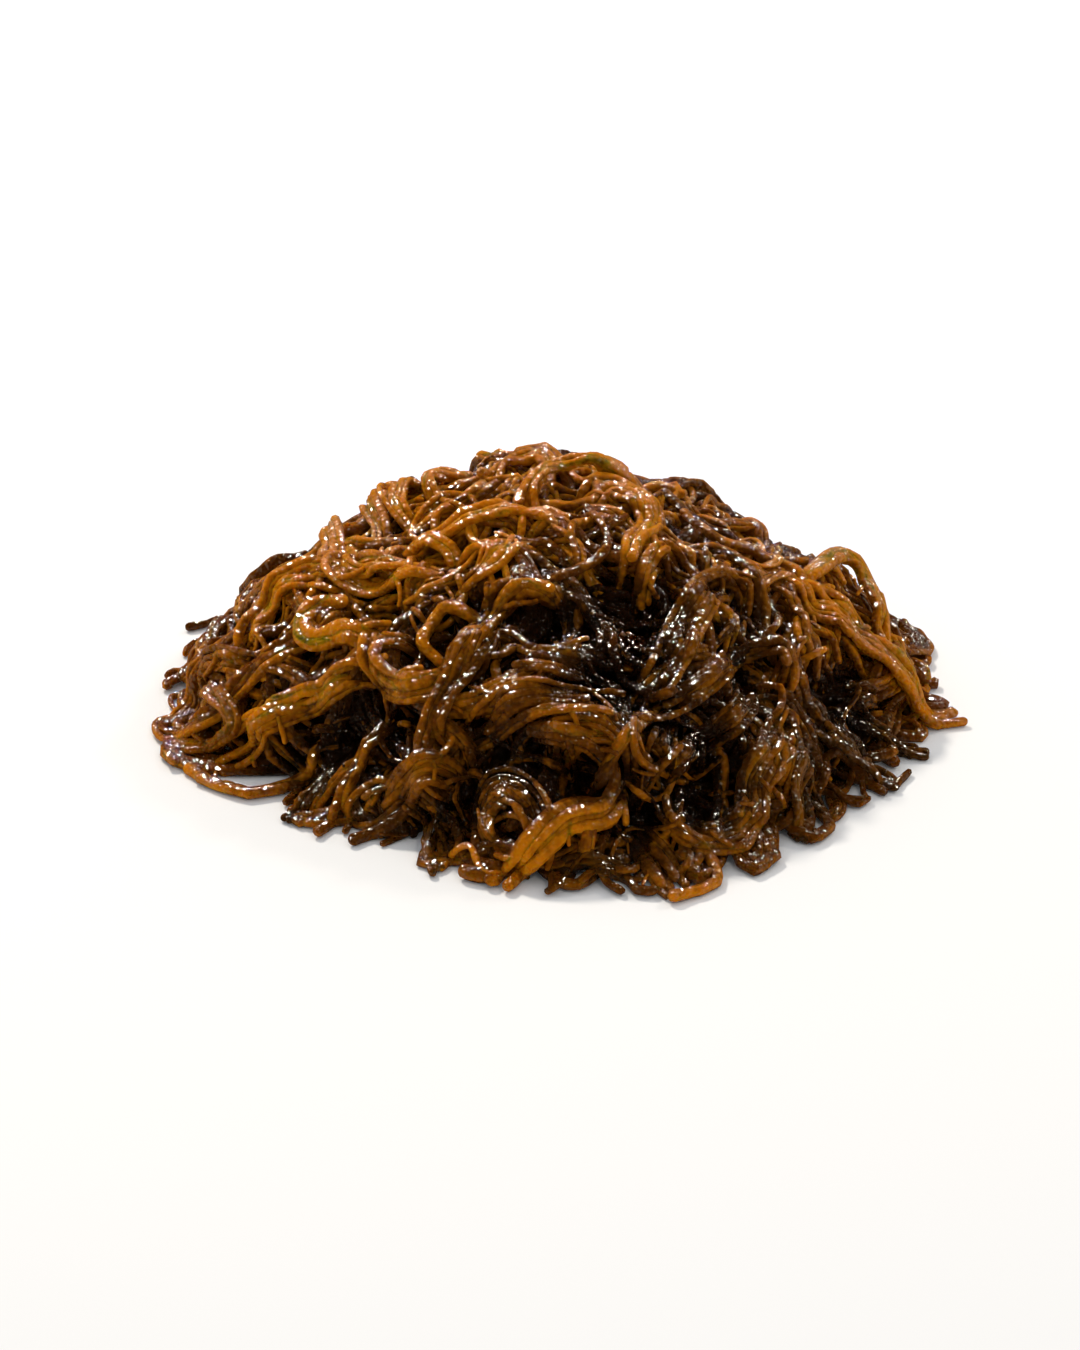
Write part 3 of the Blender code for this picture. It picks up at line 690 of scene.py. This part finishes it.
def tube(points, radii, sides, flatness, turn):
    """A tube with a slowly turning oval section.

    Gives its corners, with the middles of its tips last, its side faces, and for each corner how far it
    faces down and how far it faces out of the heap.
    """
    count = len(points)
    ahead = np.gradient(points, axis=0)
    ahead /= np.linalg.norm(ahead, axis=1)[:, None]
    normals = normals_along(points, ahead)
    beside = np.cross(ahead, normals)
    angles = np.linspace(0, 2 * math.pi, sides, endpoint=False)[None]
    spin = turn * np.arange(count)[:, None]
    wide = np.cos(angles) * (1 + flatness)
    high = np.sin(angles) * (1 - flatness)
    across = (wide * np.cos(spin) - high * np.sin(spin)) * radii[:, None]
    upward = (wide * np.sin(spin) + high * np.cos(spin)) * radii[:, None]
    outward = beside[:, None] * across[..., None] + normals[:, None] * upward[..., None]
    rings = points[:, None] + outward
    outward /= np.linalg.norm(outward, axis=-1)[..., None]
    # How far each corner faces down, which the material turns into a painted glow on the underside
    under = 0.5 - 0.5 * outward[..., 2]
    # How far each corner faces out of the heap, which the material turns into painted shade where strands
    # meet
    away = points - DRAPE_CENTRE
    away /= np.linalg.norm(away, axis=1)[:, None]
    outer = 0.5 + 0.5 * (outward * away[:, None]).sum(axis=-1)
    tips = [
        points[0] - ahead[0] * radii[0] * TIP_MIDDLE,
        points[-1] + ahead[-1] * radii[-1] * TIP_MIDDLE,
    ]
    corners = np.concatenate([rings.reshape(-1, 3), tips])
    facings = [np.append(values.reshape(-1), (0.5, 0.5)) for values in (under, outer)]
    return corners, side_faces(count, sides), facings


def new_piece(name, mesh, material):
    mesh.shade_smooth()
    mesh.materials.append(material)
    piece = bpy.data.objects.new(name, mesh)
    bpy.context.scene.collection.objects.link(piece)
    return piece


class Bunch:
    """Gathers tubes, to be made into one mesh piece."""

    def __init__(self):
        self.corners = []
        self.quads = []
        self.tips = []
        self.tones = []
        self.depths = []
        self.unders = []
        self.outers = []
        self.start = 0

    def add(self, points, radii, sides, flatness, turn, tone, depths):
        points, radii = with_round_tips(points, radii)
        depths = np.concatenate([depths[:1], depths[:1], depths, depths[-1:], depths[-1:]])
        count = len(points)
        corners, quads, (under, outer) = tube(points, radii, sides, flatness, turn)
        self.corners.append(corners)
        self.quads.append(quads + self.start)
        first = self.start + count * sides
        last_ring = self.start + (count - 1) * sides
        for k in range(sides):
            self.tips.append((self.start + (k + 1) % sides, self.start + k, first))
            self.tips.append((last_ring + k, last_ring + (k + 1) % sides, first + 1))
        self.tones.append(np.full(len(corners), tone))
        self.unders.append(under)
        self.outers.append(outer)
        self.depths.append(np.concatenate([np.repeat(depths, sides), [depths[0], depths[-1]]]))
        self.start += len(corners)

    def make(self, name, material):
        corners = np.concatenate(self.corners)
        faces = np.concatenate(self.quads).tolist() + self.tips
        mesh = bpy.data.meshes.new(name)
        mesh.from_pydata(corners.tolist(), [], faces)
        for attribute, values in (
            ("tone", self.tones),
            ("depth", self.depths),
            ("under", self.unders),
            ("outer", self.outers),
        ):
            layer = mesh.attributes.new(attribute, "FLOAT", "POINT")
            layer.data.foreach_set("value", np.concatenate(values).astype(np.float32))
        return new_piece(name, mesh, material)


# The material darkens strands by this, painted shade deep in the heap
def depth_of(sheet, levels):
    """0 well below the heap's skin, 1 on top of it."""
    below = read_map(target, sheet) - levels
    return np.clip(1 - (below + LIT_ABOVE) / LIT_RANGE, 0, 1)


def strand(bunch, sheet, levels, radius, sides, draw, tone):
    """One fine strand along this route, lumpy along its length."""
    count = len(sheet)
    swelling = LUMPS * gentle_noise(count, LUMP_WAVE, draw)
    knobs = FINE_LUMPS * gentle_noise(count, FINE_LUMP_WAVE, draw)
    radii = radius * (1 + swelling + knobs)
    aim, _ = directions(sheet, radius)
    ground = (radius - DRAPE_CENTRE[2]) / aim[:, 2]
    levels = np.maximum(levels + WOBBLE * gentle_noise(count, WOBBLE_WAVE, draw), ground)
    points = in_space(sheet, levels, radius)
    points[:, 2] = np.maximum(points[:, 2], radii * OFF_GROUND)
    flatness = draw.uniform(*FLATNESS)
    turn = draw.uniform(*SECTION_TURN)
    bunch.add(points, radii, sides, flatness, turn, tone, depth_of(sheet, levels))
    return levels


def evenly(points, spacing):
    walked = np.concatenate([[0.0], np.cumsum(np.linalg.norm(np.diff(points, axis=0), axis=1))])
    count = max(4, round(walked[-1] / spacing))
    goals = np.linspace(0, walked[-1], count + 1)
    columns = [np.interp(goals, walked, points[:, side]) for side in (0, 1)]
    return np.stack(columns, axis=-1)


def side_of(sheet):
    ahead = np.gradient(sheet, axis=0)
    ahead /= np.linalg.norm(ahead, axis=1)[:, None] + 1e-12
    return np.stack([-ahead[:, 1], ahead[:, 0]], axis=-1)


def branch(bunch, sheet, levels, at, radius, sides, draw, tone):
    """A short side branch that leaves a strand and lies down beside it."""
    length = draw.uniform(*BRANCH_LENGTHS) * MM
    steps = max(4, round(length / STRAND_STEP))
    ahead = sheet[min(at + 2, len(sheet) - 1)] - sheet[max(at - 2, 0)]
    heading = math.atan2(ahead[1], ahead[0]) + draw.choice((-1, 1)) * draw.uniform(*BRANCH_TURNS)
    bend = draw.uniform(-BRANCH_BEND, BRANCH_BEND)
    here = sheet[at].copy()
    route = [here]
    for _ in range(steps):
        here = here + np.array((math.cos(heading), math.sin(heading))) * STRAND_STEP
        heading += bend
        route.append(here)
    route = np.array(route)
    if math.hypot(*route[-1]) > FOOT_ARC * BRANCH_REACH:
        return
    rise = resting_levels(route, radius, PRESS, tangle_limit)
    blend = np.clip(np.arange(len(route)) / BRANCH_FROM_STEPS, 0, 1)
    rise = levels[at] * (1 - blend) + rise * blend
    fine = radius * np.linspace(1.0, draw.uniform(*BRANCH_ENDS), len(route))
    fine = fine * (1 + LUMPS * gentle_noise(len(route), BRANCH_LUMP_WAVE, draw))
    points = in_space(route, rise, radius)
    points[:, 2] = np.maximum(points[:, 2], fine * OFF_GROUND)
    bunch.add(points, fine, sides, 0.0, 0.0, tone, depth_of(route, rise))
    lay_down(route, rise, radius * BRANCH_WEIGHT)


def dive(count, draw):
    """How far a strand's ends go down between those around it. Some ends stay on top."""
    from_start = np.arange(count)
    total = np.zeros(count)
    for steps in (from_start, from_start[::-1]):
        if draw.random() < DIVING_SHARE:
            total += DIVE_DEPTH * np.clip(1 - steps * STRAND_STEP / DIVE_LENGTH, 0, 1) ** DIVE_POWER
    return total


def own_stretch(count, is_first, draw):
    """The part of a bundle's route that one of its strands takes. The first takes all of it."""
    most_left_out = max(0, count // 5)
    first = 0 if is_first else draw.randint(0, most_left_out)
    last = count if is_first else count - draw.randint(0, most_left_out)
    if last - first < FEWEST_POINTS:
        return 0, count
    return first, last


def bundle(bunch, sheet, strands, radius, sides, draw, tone, branches, limit=tangle_limit, proud=0.0):
    """Strands that lie side by side along a route, slowly twisting and pressed into each other."""
    count = len(sheet)
    tone += tone_change(sheet)
    beside = side_of(sheet)
    start = draw.uniform(0, 2 * math.pi)
    half_turn = draw.uniform(*HALF_TURNS)
    angle = start + np.arange(count) * STRAND_STEP / half_turn * math.pi
    pitch = 2 * radius * SHARE_OF_PITCH
    plain, twisted = TWIST_WIDTHS
    laid = []
    for i in range(strands):
        place = (i - (strands - 1) / 2) * pitch
        weave = radius * WEAVE * gentle_noise(count, WEAVE_WAVE, draw)
        across = place * (plain + twisted * np.cos(angle)) + weave
        lift = abs(place) * TWIST_LIFT * (1 + np.sin(angle + i))
        own_radius = radius * draw.uniform(*RADIUS_SPREAD)
        first, last = own_stretch(count, i == 0, draw)
        own = (sheet + beside * across[:, None])[first:last]
        levels = resting_levels(own, own_radius, PRESS, limit) + lift[first:last] * LIFT_SHARE
        levels += proud * np.sin(math.pi * np.arange(first, last) / (count - 1)) - dive(len(own), draw)
        own_tone = min(1.0, max(0.0, tone + draw.uniform(-TONE_SPREAD, TONE_SPREAD)))
        levels = strand(bunch, own, levels, own_radius, sides, draw, own_tone)
        laid.append((own, levels, own_radius, own_tone))
    for own, levels, own_radius, own_tone in laid:
        lay_down(own, levels, own_radius)
    for own, levels, own_radius, own_tone in laid:
        for _ in range(branches):
            if draw.random() < BRANCH_CHANCE:
                at = draw.randint(2, len(own) - 3)
                branch(bunch, own, levels, at, own_radius * BRANCH_SIZE, sides, draw, own_tone)


def wander(draw, length, curl, reach):
    """A curling path over the heap."""
    arc = FOOT_ARC * reach * math.sqrt(draw.random())
    bearing = draw.uniform(0, 2 * math.pi)
    here = np.array((math.cos(bearing), math.sin(bearing))) * arc
    heading = draw.uniform(0, 2 * math.pi)
    turn = draw.uniform(-curl, curl)
    route = [here]
    for _ in range(round(length / STRAND_STEP)):
        turn += draw.uniform(-curl, curl) * CURL_CHANGE
        turn = max(-curl, min(curl, turn))
        heading += turn * STRAND_STEP
        here = here + np.array((math.cos(heading), math.sin(heading))) * STRAND_STEP
        if math.hypot(*here) > FOOT_ARC * reach:
            here = here * (FOOT_ARC * reach / math.hypot(*here))
            heading += EDGE_TURN
        route.append(here)
    return evenly(np.array(route), STRAND_STEP)


def barest_walk(draw, tries, length, curl, reach):
    """Of some paths, the one over the stretch that most lacks strands."""
    walks = [wander(draw, length, curl, reach) for _ in range(tries)]
    lacking = wanted - skin - hollows
    gaps = [float(np.mean(read_map(lacking, walk))) for walk in walks]
    best = max(range(tries), key=lambda k: gaps[k])
    return walks[best]


def smooth_route(points):
    """A smooth curve through a lock's points, on the rolled-out form."""
    padded = [points[0] * 2 - points[1], *points, points[-1] * 2 - points[-2]]
    dense = []
    for a, b, c, d in zip(padded, padded[1:], padded[2:], padded[3:]):
        bend = a * 2 - b * 5 + c * 4 - d
        twist = b * 3 - a - c * 3 + d
        for t in np.linspace(0, 1, ROUTE_STEPS, endpoint=False):
            dense.append((b * 2 + (c - a) * t + bend * t**2 + twist * t**3) / 2)
    dense.append(points[-1])
    return evenly(np.array(dense), STRAND_STEP)


# Materials


def strand_colour_group():
    """Colour, roughness and surface height of wet seaweed, from a strand's tone, depth and facing."""
    group = bpy.data.node_groups.new("wet_seaweed", "ShaderNodeTree")
    for name in ("Deep", "Body", "Lit"):
        group.interface.new_socket(name, in_out="INPUT", socket_type="NodeSocketColor")
    group.interface.new_socket("Colour", in_out="OUTPUT", socket_type="NodeSocketColor")
    for name in ("Roughness", "Height"):
        group.interface.new_socket(name, in_out="OUTPUT", socket_type="NodeSocketFloat")
    nodes = group.nodes
    links = group.links
    given = nodes.new("NodeGroupInput")
    put = nodes.new("NodeGroupOutput")
    place = nodes.new("ShaderNodeTexCoord")

    def attribute(name):
        node = nodes.new("ShaderNodeAttribute")
        node.attribute_name = name
        return node.outputs["Fac"]

    def noise(scale, detail):
        node = nodes.new("ShaderNodeTexNoise")
        node.inputs["Scale"].default_value = scale
        node.inputs["Detail"].default_value = detail
        links.new(place.outputs["Object"], node.inputs["Vector"])
        return node.outputs["Fac"]

    def remap(value, given_range, wanted_range):
        node = nodes.new("ShaderNodeMapRange")
        node.inputs["From Min"].default_value, node.inputs["From Max"].default_value = given_range
        node.inputs["To Min"].default_value, node.inputs["To Max"].default_value = wanted_range
        links.new(value, node.inputs["Value"])
        return node.outputs["Result"]

    def math_node(operation, a, b):
        node = nodes.new("ShaderNodeMath")
        node.operation = operation
        for socket, value in zip(node.inputs, (a, b)):
            if isinstance(value, (int, float)):
                socket.default_value = value
            else:
                links.new(value, socket)
        return node.outputs[0]

    def blend(amount, a, b):
        node = nodes.new("ShaderNodeMix")
        node.data_type = "RGBA"
        links.new(amount, node.inputs["Factor"])
        links.new(a, node.inputs["A"])
        links.new(b, node.inputs["B"])
        return node.outputs["Result"]

    depth = attribute("depth")
    tone = attribute("tone")
    wide_patches = remap(noise(WIDE_PATCH_SCALE, 2), NOISE_RANGE, WIDE_PATCHES)
    fine_patches = remap(noise(FINE_PATCH_SCALE, 1), NOISE_RANGE, FINE_PATCHES)
    patches = math_node("ADD", wide_patches, fine_patches)
    # Painted light: a glow on the underside of each strand
    underside_glow = remap(attribute("under"), UNDER_RANGE, PAINTED_UNDERSIDE_GLOW)
    # Painted shade in the crease where strands meet
    crease_shade = remap(attribute("outer"), OUTER_RANGE, PAINTED_CREASE_SHADE)
    # The painted glow and the painted crease shade together
    turned = math_node("ADD", underside_glow, crease_shade)
    # Painted shade: the tone is lowered with depth in the heap
    lit = math_node("ADD", math_node("ADD", tone, patches), remap(depth, WHOLE_RANGE, PAINTED_DEPTH_SHADE))
    lit = math_node("ADD", lit, turned)
    # Painted shade: deeper strands go towards the deepest colour
    body = blend(remap(depth, PAINTED_SHADE_DEPTHS, WHOLE_RANGE), given.outputs["Deep"], given.outputs["Body"])
    colour = blend(remap(lit, LIT_TONES, WHOLE_RANGE), body, given.outputs["Lit"])
    links.new(colour, put.inputs["Colour"])
    links.new(remap(noise(WETNESS_SCALE, 2), NOISE_RANGE, ROUGHNESSES), put.inputs["Roughness"])
    ripples = math_node("MULTIPLY", noise(RIPPLE_SCALE, 0), RIPPLE_HEIGHT)
    swells = math_node("MULTIPLY", noise(SWELL_SCALE, 1), SWELL_HEIGHT)
    links.new(math_node("ADD", ripples, swells), put.inputs["Height"])
    return group


def seaweed_material(name, colours, group):
    material = bpy.data.materials.new(name)
    material.use_nodes = True
    nodes = material.node_tree.nodes
    links = material.node_tree.links
    shader = nodes["Principled BSDF"]
    wet = nodes.new("ShaderNodeGroup")
    wet.node_tree = group
    for socket, colour in zip(("Deep", "Body", "Lit"), colours):
        wet.inputs[socket].default_value = (*colour, 1)
    bump = nodes.new("ShaderNodeBump")
    bump.inputs["Strength"].default_value = 1.0
    bump.inputs["Distance"].default_value = BUMP_DISTANCE
    links.new(wet.outputs["Height"], bump.inputs["Height"])
    links.new(bump.outputs["Normal"], shader.inputs["Normal"])
    links.new(wet.outputs["Colour"], shader.inputs["Base Color"])
    links.new(wet.outputs["Roughness"], shader.inputs["Roughness"])
    shader.inputs["IOR"].default_value = FLESH_IOR
    shader.inputs["Transmission Weight"].default_value = FLESH_TRANSMISSION
    shader.inputs["Subsurface Weight"].default_value = 1.0
    shader.inputs["Subsurface Radius"].default_value = FLESH_SCATTER
    shader.inputs["Subsurface Scale"].default_value = FLESH_SCATTER_SCALE
    return material


group = strand_colour_group()
amber = seaweed_material("amber_seaweed", AMBER, group)
brown = seaweed_material("brown_seaweed", BROWN, group)
dark = seaweed_material("dark_seaweed", DARK, group)


def packed_inside():
    """The mass under the strands, in the dark colours as painted shade, which shows only as darkness between
    them.
    """
    around = INSIDE_AROUND
    rings = INSIDE_RINGS
    arcs = np.linspace(0, FOOT_ARC * INSIDE_REACH, rings)[1:]
    bearings = np.linspace(0, 2 * math.pi, around, endpoint=False)
    sheet = np.stack([arcs[:, None] * np.cos(bearings), arcs[:, None] * np.sin(bearings)], axis=-1)
    levels = read_map(np.maximum(inside, floor_levels), sheet)
    rings_of_points = in_space(sheet, levels, 0.0)
    rings_of_points[..., 2] = np.maximum(rings_of_points[..., 2], INSIDE_LOWEST)
    crown = np.zeros((1, 2))
    top = in_space(crown, read_map(inside, crown), 0.0)[0]
    corners = [top.tolist()] + rings_of_points.reshape(-1, 3).tolist()
    faces = [(0, 1 + k, 1 + (k + 1) % around) for k in range(around)]
    for ring in range(rings - 2):
        base = 1 + ring * around
        for k in range(around):
            after = (k + 1) % around
            faces.append((base + k, base + around + k, base + around + after, base + after))
    last = 1 + (rings - 2) * around
    faces.append([last + k for k in reversed(range(around))])
    mesh = bpy.data.meshes.new("packed_inside")
    mesh.from_pydata(corners, [], faces)
    # Painted shade: the inside takes the dark colours
    return new_piece("packed_inside", mesh, dark)


inner_mass = packed_inside()

# The tangle, the locks over it and the strays over them


def tone_change(sheet):
    """How much lighter or darker strands are around this stretch: own tone and painted light and shade."""
    middle = sheet[len(sheet) // 2]
    total = 0.0
    for bearing, share, width, change in TONE_PLACES:
        away = np.linalg.norm(middle - sheet_point(bearing, share))
        total += change * math.exp(-((away / width) ** 2))
    return total


def sector_of(sheet):
    middle = sheet.mean(axis=0)
    if math.hypot(*middle) < CROWN_SHARE * FOOT_ARC:
        return "crown"
    turn = math.degrees(math.atan2(middle[1], middle[0])) % 360
    return SECTORS[round(turn / SECTOR_ANGLE) % len(SECTORS)]


tangle = {name: Bunch() for name in SECTORS + ("crown",)}
draw = random.Random(TANGLE_SEED)
for bundles, tries, lengths, tightest, reach, radii, counts, tones, branches in TANGLE_LAYERS:
    for _ in range(bundles):
        walk = barest_walk(draw, tries, draw.uniform(*lengths) * MM, 1 / tightest, reach)
        radius = draw.uniform(*radii) * MM
        strands = draw.choice(counts)
        tone = draw.uniform(*tones)
        bundle(tangle[sector_of(walk)], walk, strands, radius, TANGLE_SIDES, draw, tone, branches)

lock_bunches = {}
for name, (route, strands, radius, colours) in LOCKS.items():
    sheet = smooth_route([sheet_point(*place) for place in route])
    made = Bunch()
    tone = LOCK_TONES[colours]
    proud = PROUD_LOOPS.get(name, 0.0)
    bundle(made, sheet, strands, radius * MM, LOCK_SIDES, draw, tone, 1, lock_limit, proud)
    lock_bunches[name] = made

strays = Bunch()
for route, strands, radius, tone in STRAYS:
    sheet = smooth_route([sheet_point(*place) for place in route])
    bundle(strays, sheet, strands, radius * MM, LOCK_SIDES, draw, tone, 0, lock_limit, STRAY_RISE)

materials_by_colour = {AMBER: (amber, "amber"), BROWN: (brown, "brown"), DARK: (dark, "dark")}
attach(inner_mass, "root")
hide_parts("heap_tangle")
for name, made in tangle.items():
    # Amber on the crown and lit sides, brown elsewhere: partly painted light and shade
    light = name in AMBER_SECTORS
    piece = made.make("tangle_" + name, amber if light else brown)
    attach(piece, "root")
    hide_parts("heap_tangle")
piece = strays.make("stray_strands", amber)
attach(piece, "root")
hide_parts("heap_tangle")
for name, made in lock_bunches.items():
    material, slot = materials_by_colour[LOCKS[name][3]]
    piece = made.make(name.replace("lock", "strands"), material)
    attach(piece, "root")
    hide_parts(name)

# Floor, light and camera


def floor():
    bpy.ops.mesh.primitive_plane_add(size=FLOOR_SIZE)
    plane = bpy.context.object
    plane.name = "floor"
    material = bpy.data.materials.new("floor_white")
    material.use_nodes = True
    nodes = material.node_tree.nodes
    links = material.node_tree.links
    shader = nodes["Principled BSDF"]
    shader.inputs["Roughness"].default_value = FLOOR_ROUGHNESS
    shader.inputs["Specular IOR Level"].default_value = 0.0
    paths = nodes.new("ShaderNodeLightPath")
    shades = nodes.new("ShaderNodeMix")
    shades.data_type = "RGBA"
    shades.inputs["A"].default_value = FLOOR_WHITE
    shades.inputs["B"].default_value = FLOOR_IN_GLOSS
    links.new(paths.outputs["Is Glossy Ray"], shades.inputs["Factor"])
    links.new(shades.outputs["Result"], shader.inputs["Base Color"])
    plane.data.materials.append(material)


def soft_light(name, place, size, watts):
    light = bpy.data.lights.new(name, "AREA")
    light.shape = "DISK"
    light.size = size
    light.energy = watts
    light.color = LAMP_COLOUR
    lamp = bpy.data.objects.new(name, light)
    lamp.location = place
    lamp.rotation_euler = (Vector(LAMP_AIM) - Vector(place)).to_track_quat("-Z", "Y").to_euler()
    bpy.context.scene.collection.objects.link(lamp)


def surroundings():
    world = bpy.data.worlds.new("studio")
    world.use_nodes = True
    nodes = world.node_tree.nodes
    links = world.node_tree.links
    sky = nodes["Background"]
    sky.inputs["Color"].default_value = (1, 1, 1, 1)
    paths = nodes.new("ShaderNodeLightPath")
    gloss = nodes.new("ShaderNodeMath")
    gloss.operation = "MULTIPLY_ADD"
    gloss.inputs[1].default_value = SKY_IN_GLOSS
    gloss.inputs[2].default_value = SKY
    through = nodes.new("ShaderNodeMath")
    through.operation = "MULTIPLY_ADD"
    through.inputs[1].default_value = SKY_THROUGH
    links.new(paths.outputs["Is Glossy Ray"], gloss.inputs[0])
    links.new(paths.outputs["Is Transmission Ray"], through.inputs[0])
    links.new(gloss.outputs[0], through.inputs[2])
    links.new(through.outputs[0], sky.inputs["Strength"])
    bpy.context.scene.world = world


def camera():
    lens = bpy.data.cameras.new("camera")
    lens.sensor_fit = "VERTICAL"
    lens.sensor_height = FILM_HEIGHT
    lens.lens = LENS
    eye = bpy.data.objects.new("camera", lens)
    eye.location = CAMERA_PLACE
    eye.rotation_euler = (math.radians(CAMERA_TILT), 0, 0)
    bpy.context.scene.collection.objects.link(eye)
    bpy.context.scene.camera = eye


floor()
surroundings()
for name, place, size, watts in LAMPS:
    soft_light(name, place, size, watts)
camera()
bpy.context.scene.view_settings.view_transform = "Standard"
